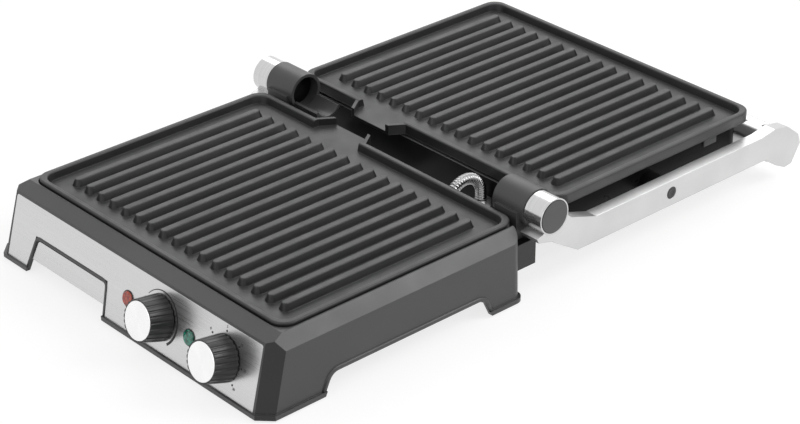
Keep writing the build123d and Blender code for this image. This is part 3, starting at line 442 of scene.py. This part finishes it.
def clear_lens(name, deep, bright):
    """A coloured lens whose body shows moulded facets."""
    mat, tree, shader = new_material(name)
    where = position(tree)
    cells = node(tree, "ShaderNodeTexVoronoi")
    cells.inputs["Scale"].default_value = 420.0
    tree.links.new(where, cells.inputs["Vector"])
    facets = cells.outputs["Distance"]
    tree.links.new(ramp(tree, facets, bright, deep, start=0.1, end=0.8), shader.inputs["Base Color"])
    worn = noise(tree, where, scale=300, detail=2)
    tree.links.new(remap(tree, worn, 0.06, 0.14), shader.inputs["Roughness"])
    shader.inputs["Transmission Weight"].default_value = 0.35
    shader.inputs["IOR"].default_value = 1.49
    shader.inputs["Coat Weight"].default_value = 0.6
    bump(tree, shader, facets, strength=0.25, distance=0.0003)
    return mat


def spun(name):
    """Turned metal with fine rings about the object's own Z axis."""
    mat, tree, shader = new_material(name)
    ring = node(tree, "ShaderNodeCombineXYZ")
    tree.links.new(distance_from_axis(tree, (0, 0, 0), (1, 1, 0)), ring.inputs["X"])
    rings = noise(tree, ring.outputs["Vector"], scale=5200, detail=3, rough=0.6)
    tree.links.new(greys(tree, rings, 0.88, 0.97), shader.inputs["Base Color"])
    tree.links.new(remap(tree, rings, 0.2, 0.32), shader.inputs["Roughness"])
    shader.inputs["Metallic"].default_value = 1.0
    shader.inputs["Anisotropic"].default_value = 0.85
    tangent = node(tree, "ShaderNodeTangent", direction_type="RADIAL", axis="Z")
    tree.links.new(tangent.outputs["Tangent"], shader.inputs["Tangent"])
    bump(tree, shader, rings, strength=0.06, distance=0.00003)
    return mat


MATERIALS = {
    # The housing finishes darken the front corners, and the non-stick finish the rib flanks, as painted shade
    "housing_plastic": housing_finish_and_shade("housing_plastic"),
    "panel_steel": brushed("panel_steel", (0.6,) * 3, (0.67,) * 3, 0.3, along=(14, 2600, 2600)),
    "nonstick_aluminium": plate_finish_and_shade("nonstick_aluminium"),
    "cast_arm_metal": arm_finish("cast_arm_metal"),
    "conduit_steel": grained_grey("conduit_steel", 0.36, 0.5, 0.22, metallic=1.0, edge=0),
    "sheet_steel": grained_grey("sheet_steel", 0.4, 0.52, 0.35, grain=500, metallic=1.0),
    "element_steel": brushed("element_steel", (0.2, 0.19, 0.18), (0.34, 0.33, 0.32), 0.4),
    "knob_plastic": grained(
        "knob_plastic", (0.016, 0.016, 0.017), (0.024, 0.024, 0.025), 0.34, edge=0.0003,
    ),
    "cap_metal": spun("cap_metal"),
    "dark_plastic": grained("dark_plastic", (0.07, 0.07, 0.072), (0.09, 0.09, 0.092), 0.5, edge=0.0003),
    "red_lens": clear_lens("red_lens", (0.32, 0.012, 0.006), (0.9, 0.13, 0.05)),
    "green_lens": clear_lens("green_lens", (0.003, 0.11, 0.07), (0.02, 0.45, 0.3)),
    "lamp_glass": grained("lamp_glass", (0.6, 0.5, 0.4), (0.8, 0.7, 0.6), 0.15),
    "rubber": grained_grey("rubber", 0.02, 0.03, 0.75, grain=1200),
    "screw_steel": grained_grey("screw_steel", 0.03, 0.06, 0.4, metallic=0.3, edge=0.0003),
    "latch_plastic": grained("latch_plastic", (0.13, 0.13, 0.133), (0.16, 0.16, 0.163), 0.45),
}
BLACK = grained_grey("black_plastic", 0.007, 0.012, 0.32, specular=0.12)
# Lighter grey of the lid's flange: a painted highlight line along the black frame
FLANGE_HIGHLIGHT = grained_grey("lid_flange_highlight", 0.14, 0.2, 0.3, metallic=0.5, edge=0.0004)
MARK = grained_grey("dial_mark", 0.02, 0.035, 0.5, edge=0)
OWN_FINISH = {
    "lid_cover": BLACK,
    "lid_frame": BLACK,
    # The base housing's rear and front corners are darkened as painted shade
    "base_housing": housing_finish_and_shade("base_housing_plastic_and_shade", REAR_Y),
}


# Small helpers for pieces
def new_object(name, bm, material):
    """An object of the mesh in bm, with this material."""
    bmesh.ops.recalc_face_normals(bm, faces=bm.faces)
    mesh = bpy.data.meshes.new(name)
    bm.to_mesh(mesh)
    bm.free()
    mesh.materials.append(material)
    made = bpy.data.objects.new(name, mesh)
    bpy.context.collection.objects.link(made)
    return made


def settle(piece, body):
    """The piece rides on a body."""
    bpy.context.view_layer.update()
    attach(piece, body)


def add_piece(name, bm, material, body, matrix=None):
    piece = new_object(name, bm, material)
    if matrix is not None:
        piece.matrix_world = matrix
    settle(piece, body)
    return piece


def join_rings(bm, rings, smooth=True):
    """Faces between each ring and the next; all rings have as many points."""
    for one, two in zip(rings, rings[1:]):
        for j in range(len(one)):
            k = (j + 1) % len(one)
            bm.faces.new((one[j], one[k], two[k], two[j])).smooth = smooth


def close_ends(bm, rings):
    bm.faces.new(rings[0])
    bm.faces.new(rings[-1])


def lathe(name, profile, material, body, matrix, steps=96):
    """Turn (radius, height) points about the frame's Z axis into a closed body."""
    bm = bmesh.new()
    turns = [2 * math.pi * i / steps for i in range(steps)]
    rings = []
    for radius, height in profile:
        if radius == 0:
            rings.append([bm.verts.new((0, 0, height))])
            continue
        rings.append([bm.verts.new((radius * math.cos(t), radius * math.sin(t), height)) for t in turns])
    for low, high in zip(rings, rings[1:]):
        if len(low) == len(high):
            join_rings(bm, (low, high))
            continue
        for i in range(steps):
            j = (i + 1) % steps
            fan = (low[0], high[i], high[j]) if len(low) == 1 else (low[i], low[j], high[0])
            bm.faces.new(fan).smooth = True
    return add_piece(name, bm, material, body, matrix)


def filleted(corners, radius):
    """The open path through corners, with each inner corner rounded by an arc."""
    path = [corners[0]]
    for before, corner, after in zip(corners, corners[1:], corners[2:]):
        to_before = (before - corner).normalized()
        to_after = (after - corner).normalized()
        half = to_before.angle(to_after) / 2
        reach = radius / math.tan(half)
        centre = corner + (to_before + to_after).normalized() * (radius / math.sin(half))
        start = corner + to_before * reach - centre
        end = corner + to_after * reach - centre
        for i in range(BEAD_ARC_STEPS + 1):
            path.append(centre + start.slerp(end, i / BEAD_ARC_STEPS) * radius)
    path.append(corners[-1])
    return path


# Pieces
def add_cap(dial):
    """Spun cap on a knob, turned about its own axis."""
    profile = [
        (0, -CAP_DEPTH), (CAP_RADIUS, -CAP_DEPTH), (CAP_RADIUS, 0), (CAP_RADIUS - CAP_EDGE, CAP_EDGE),
        (CAP_RADIUS - CAP_RIM, CAP_EDGE), (0, CAP_MIDDLE),
    ]
    metal = MATERIALS["cap_metal"]
    place = on_dial(dial, lift=KNOB_FACE)
    cap = lathe(f"{dial}_spun_cap", profile, metal, f"{dial}_dial", place)
    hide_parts(f"{dial}_knob_cap")


def add_arc():
    """Arc round the thermostat dial, which grows from thin to thick."""
    bm = bmesh.new()
    inner, outer = [], []
    for i in range(ARC_STEPS + 1):
        share = i / ARC_STEPS
        turn = math.radians(ARC_FROM + (ARC_TO - ARC_FROM) * share)
        half = ARC_THIN_HALF + (ARC_THICK_HALF - ARC_THIN_HALF) * share
        for edge, radius in ((inner, ARC_RADIUS - half), (outer, ARC_RADIUS + half)):
            edge.append(bm.verts.new((radius * math.cos(turn), radius * math.sin(turn), 0)))
    for i in range(ARC_STEPS):
        bm.faces.new((inner[i], outer[i], outer[i + 1], inner[i + 1]))
    made = bmesh.ops.extrude_face_region(bm, geom=bm.faces[:])
    raised = [v for v in made["geom"] if isinstance(v, bmesh.types.BMVert)]
    bmesh.ops.translate(bm, verts=raised, vec=(0, 0, MARK_LIFT))
    add_piece("thermostat_arc", bm, MARK, "base", on_dial("thermostat"))


def add_dot(name, dial, angle, radius, size):
    profile = [(0, 0), (size, 0), (size, MARK_LIFT), (0, MARK_LIFT)]
    lathe(name, profile, MARK, "base", on_dial(dial, angle, radius), steps=24)


def add_number(name, dial, text, angle):
    curve = bpy.data.curves.new(name, "FONT")
    curve.body = text
    curve.size = NUMBER_SIZE
    curve.align_x = "CENTER"
    curve.align_y = "CENTER"
    curve.extrude = MARK_LIFT / 2
    curve.materials.append(MARK)
    piece = bpy.data.objects.new(name, curve)
    bpy.context.collection.objects.link(piece)
    piece.matrix_world = on_dial(dial, angle, NUMBER_RADIUS, MARK_LIFT / 2)
    settle(piece, "base")


def add_bezel(lens):
    """Dark ring round a lens."""
    low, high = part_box(lens)
    outer = LENS_RADIUS + BEZEL_WIDTH
    profile = [
        (LENS_RADIUS, 0), (outer, 0), (outer - BEZEL_CHAMFER, BEZEL_HEIGHT), (LENS_RADIUS, BEZEL_HEIGHT),
        (LENS_RADIUS, 0),
    ]
    plastic = MATERIALS["knob_plastic"]
    place = front_matrix((low[0] + high[0]) / 2, high[2] - LENS_RADIUS * math.cos(SLANT))
    lathe(lens + "_bezel", profile, plastic, "base", place, steps=48)


def add_hub_ring(name, side):
    """Black ring round the cap in a hub's end."""
    profile = [
        (RING_INNER, -RING_SUNK), (RING_OUTER, -RING_SUNK), (RING_OUTER, RING_PROUD),
        (RING_INNER, RING_PROUD), (RING_INNER, -RING_SUNK),
    ]
    place = sideways_matrix(side * HUB_END, HINGE.y, HINGE.z, side)
    lathe(f"{name}_hub_cap_ring", profile, BLACK, "arms", place)


def add_sleeve_shade_disc(name, side):
    """Black disc in a hinge sleeve's bore, set back from its inner end: painted shade of the sleeve's dark inside.
    """
    low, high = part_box(f"hinge_sleeve_{name}")
    inner_end = low[0] if side > 0 else high[0]
    profile = [(0, 0), (SLEEVE_BORE, 0), (SLEEVE_BORE, SHADE_DISC_LENGTH), (0, SHADE_DISC_LENGTH)]
    place = sideways_matrix(inner_end + side * SHADE_DISC_SETBACK, HINGE.y, HINGE.z, side)
    lathe(f"{name}_sleeve_shade_disc", profile, BLACK, "base", place)


def add_pivot_socket(name, side):
    """Raised rim round the socket of a pivot screw."""
    screw_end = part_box("pivot_bolts")[1][0]
    steel = MATERIALS["screw_steel"]
    place = sideways_matrix(side * screw_end, PIVOT.y, PIVOT.z, side)
    lathe(f"{name}_pivot_socket", PIVOT_SOCKET, steel, "arms", place, steps=48)


def add_bead(name, corners, radius, width, profile, to_world):
    """A strip along an opening's edge; to_world places one of its points, proud of the surface."""
    path = filleted([Vector((*corner, 0)) for corner in corners], radius)
    bm = bmesh.new()
    rings = []
    for i, point in enumerate(path):
        ahead = path[min(i + 1, len(path) - 1)] - path[max(i - 1, 0)]
        outwards = Vector((-ahead.y, ahead.x, 0)).normalized()
        ring = []
        for share, proud in profile:
            place = point + outwards * (share * width)
            ring.append(bm.verts.new(to_world(place.x, place.y, proud)))
        rings.append(ring)
    join_rings(bm, rings)
    close_ends(bm, rings)
    add_piece(name, bm, MATERIALS["housing_plastic"], "base")


def add_flange_highlight():
    """Thin flange round the lid's frame, in a lighter grey than the frame: a painted highlight that shows as a
    light line under the plate.
    """
    low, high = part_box("lid_frame")
    bm = bmesh.new()
    rings = []
    for side, end in ((-1, -1), (1, -1), (1, 1), (-1, 1)):
        y = high[1] if end > 0 else low[1]
        ring = []
        for out, up in FLANGE_HIGHLIGHT_SECTION:
            ring.append(bm.verts.new((side * (high[0] + out), y + end * out, low[2] + up)))
        rings.append(ring)
    join_rings(bm, rings + rings[:1], smooth=False)
    add_piece("lid_flange_highlight", bm, FLANGE_HIGHLIGHT, "lid")


def add_lead():
    """Steel-armoured lead between base and lid, in fine ribs."""
    low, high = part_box("conduit")
    lead_x = (low[0] + high[0]) / 2
    lead_bend = (high[1] - low[1]) / 2 - LEAD_RADIUS
    bend_centre = Vector((lead_x, 0, high[2] - LEAD_RADIUS - lead_bend))
    tail = bend_centre.z - low[2]
    half_turn = math.pi * lead_bend
    ring_count = LEAD_RIBS * LEAD_RINGS_PER_RIB
    bm = bmesh.new()
    rings = []
    for i in range(ring_count + 1):
        past_tail = (2 * tail + half_turn) * i / ring_count - tail
        turn = min(max(past_tail / lead_bend, 0), math.pi)
        drop = min(past_tail, 0) - max(past_tail - half_turn, 0)
        across = Vector((0, -math.cos(turn), math.sin(turn)))
        centre = bend_centre + lead_bend * across + Vector((0, 0, drop))
        groove = (0.5 + 0.5 * math.cos(2 * math.pi * i / LEAD_RINGS_PER_RIB)) ** 2
        radius = LEAD_RADIUS - LEAD_RIB_DEPTH * groove
        ring = []
        for j in range(LEAD_SIDES):
            angle = 2 * math.pi * j / LEAD_SIDES
            spoke = math.cos(angle) * Vector((1, 0, 0)) + math.sin(angle) * across
            ring.append(bm.verts.new(centre + radius * spoke))
        rings.append(ring)
    join_rings(bm, rings)
    close_ends(bm, rings)
    lead = new_object("armoured_lead", bm, MATERIALS["conduit_steel"])
    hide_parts("conduit")
    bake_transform(lead)


# Camera, floor and light
def add_camera():
    data = bpy.data.cameras.new("camera")
    data.lens = CAMERA_LENS
    data.sensor_width = SENSOR
    data.sensor_fit = "HORIZONTAL"
    data.clip_start, data.clip_end = CAMERA_CLIP
    camera = bpy.data.objects.new("camera", data)
    bpy.context.collection.objects.link(camera)
    looking = Vector((
        -math.sin(CAMERA_AZIMUTH) * math.cos(CAMERA_ELEVATION),
        math.cos(CAMERA_AZIMUTH) * math.cos(CAMERA_ELEVATION),
        -math.sin(CAMERA_ELEVATION),
    ))
    camera.location = CAMERA_AT
    camera.rotation_euler = looking.to_track_quat("-Z", "Y").to_euler()
    bpy.context.scene.camera = camera


def show_by_ray(tree, seen, others, output):
    """The surface seen for rays from the camera and those that metal or glass sends on, else others."""
    rays = node(tree, "ShaderNodeLightPath").outputs
    either = calculate(tree, "MAXIMUM", rays["Is Camera Ray"], rays["Is Glossy Ray"])
    pick = node(tree, "ShaderNodeMixShader")
    tree.links.new(calculate(tree, "MAXIMUM", either, rays["Is Transmission Ray"]), pick.inputs[0])
    tree.links.new(others, pick.inputs[1])
    tree.links.new(seen, pick.inputs[2])
    tree.links.new(pick.outputs[0], output.inputs["Surface"])


def floor_finish():
    """Pale floor that shows plain white to the camera and keeps the shadow."""
    mat, tree, shader = new_material("floor")
    shader.inputs["Base Color"].default_value = (FLOOR_TONE, FLOOR_TONE, FLOOR_TONE, 1)
    shader.inputs["Roughness"].default_value = 0.9
    shader.inputs["Specular IOR Level"].default_value = 0.1
    glow = node(tree, "ShaderNodeEmission")
    glow.inputs["Color"].default_value = (1, 1, 1, 1)
    glow.inputs["Strength"].default_value = FLOOR_GLOW
    both = node(tree, "ShaderNodeMixShader")
    both.inputs["Fac"].default_value = FLOOR_GLOW_SHARE
    tree.links.new(shader.outputs[0], both.inputs[1])
    tree.links.new(glow.outputs[0], both.inputs[2])
    show_by_ray(tree, both.outputs[0], shader.outputs[0], tree.nodes["Material Output"])
    return mat


def add_floor():
    bm = bmesh.new()
    corners = ((-1, -1), (1, -1), (1, 1), (-1, 1))
    bm.faces.new([bm.verts.new((x * FLOOR_REACH, y * FLOOR_REACH, 0)) for x, y in corners])
    floor = new_object("floor", bm, floor_finish())


def set_world():
    """Even light from all sides, brighter to the camera and in reflections."""
    world = bpy.data.worlds.new("world")
    world.use_nodes = True
    bpy.context.scene.world = world
    tree = world.node_tree
    background = tree.nodes["Background"]
    bright = node(tree, "ShaderNodeBackground")
    for light, strength in ((background, WORLD_LIGHT), (bright, WORLD_AS_SEEN)):
        light.inputs["Color"].default_value = (1, 1, 1, 1)
        light.inputs["Strength"].default_value = strength
    show_by_ray(tree, bright.outputs[0], background.outputs[0], tree.nodes["World Output"])


def add_softbox(name, place, target, size, watts):
    data = bpy.data.lights.new(name, "AREA")
    data.shape = "RECTANGLE"
    data.size, data.size_y = size
    data.energy = watts
    lamp = bpy.data.objects.new(name, data)
    bpy.context.collection.objects.link(lamp)
    lamp.location = place
    lamp.rotation_euler = (Vector(target) - Vector(place)).to_track_quat("-Z", "Y").to_euler()


# Finishes of the CAD nodes
for row in frame["record"]["subparts"]:
    slots = frame["nodes"][row["node"]].data.materials
    slots.clear()
    slots.append(OWN_FINISH.get(row["node"], MATERIALS[row["material_slot"]]))

# Dials and lenses
for dial in DIALS:
    add_cap(dial)
add_arc()
add_dot("thermostat_start_dot", "thermostat", START_DOT_ANGLE, START_DOT_RADIUS, START_DOT_SIZE)
for i, (angle, text) in enumerate(TIMER_MARKS):
    add_dot(f"timer_dot_{i}", "timer", angle, TIMER_DOT_RADIUS, TIMER_DOT_SIZE)
    add_number(f"timer_number_{i}", "timer", text, angle)
for lens in LENSES:
    add_bezel(lens)

# Hinge and pivots
for name, side in SIDES:
    add_hub_ring(name, side)
    # The sleeve's dark disc is painted shade
    add_sleeve_shade_disc(name, side)
    add_pivot_socket(name, side)

# Beads of the openings, the lid's flange as a painted highlight line, and the lead
for name, side in SIDES:
    add_bead(f"{name}_arch_bead", SIDE_ARCH, SIDE_ARCH_ROUND, SIDE_BEAD_WIDTH, SIDE_BEAD, on_side(side))
add_bead("tray_arch_bead", TRAY_ARCH, TRAY_ARCH_ROUND, TRAY_BEAD_WIDTH, TRAY_BEAD, on_front)
add_flange_highlight()
add_lead()

# Stage
add_camera()
add_floor()
set_world()
add_softbox("key", place=(-1.15, 1.05, 1.25), target=(0, 0, 0), size=(1.5, 1.2), watts=9)
add_softbox("front_fill", place=(0.2, -1.8, 0.9), target=(0, -0.1, 0.05), size=(1.2, 0.8), watts=5)
add_softbox("band_light", place=(1.0, 0.9, 1.15), target=(0.15, -0.1, 0.05), size=(0.9, 0.9), watts=12)
bpy.context.scene.view_settings.view_transform = "Standard"
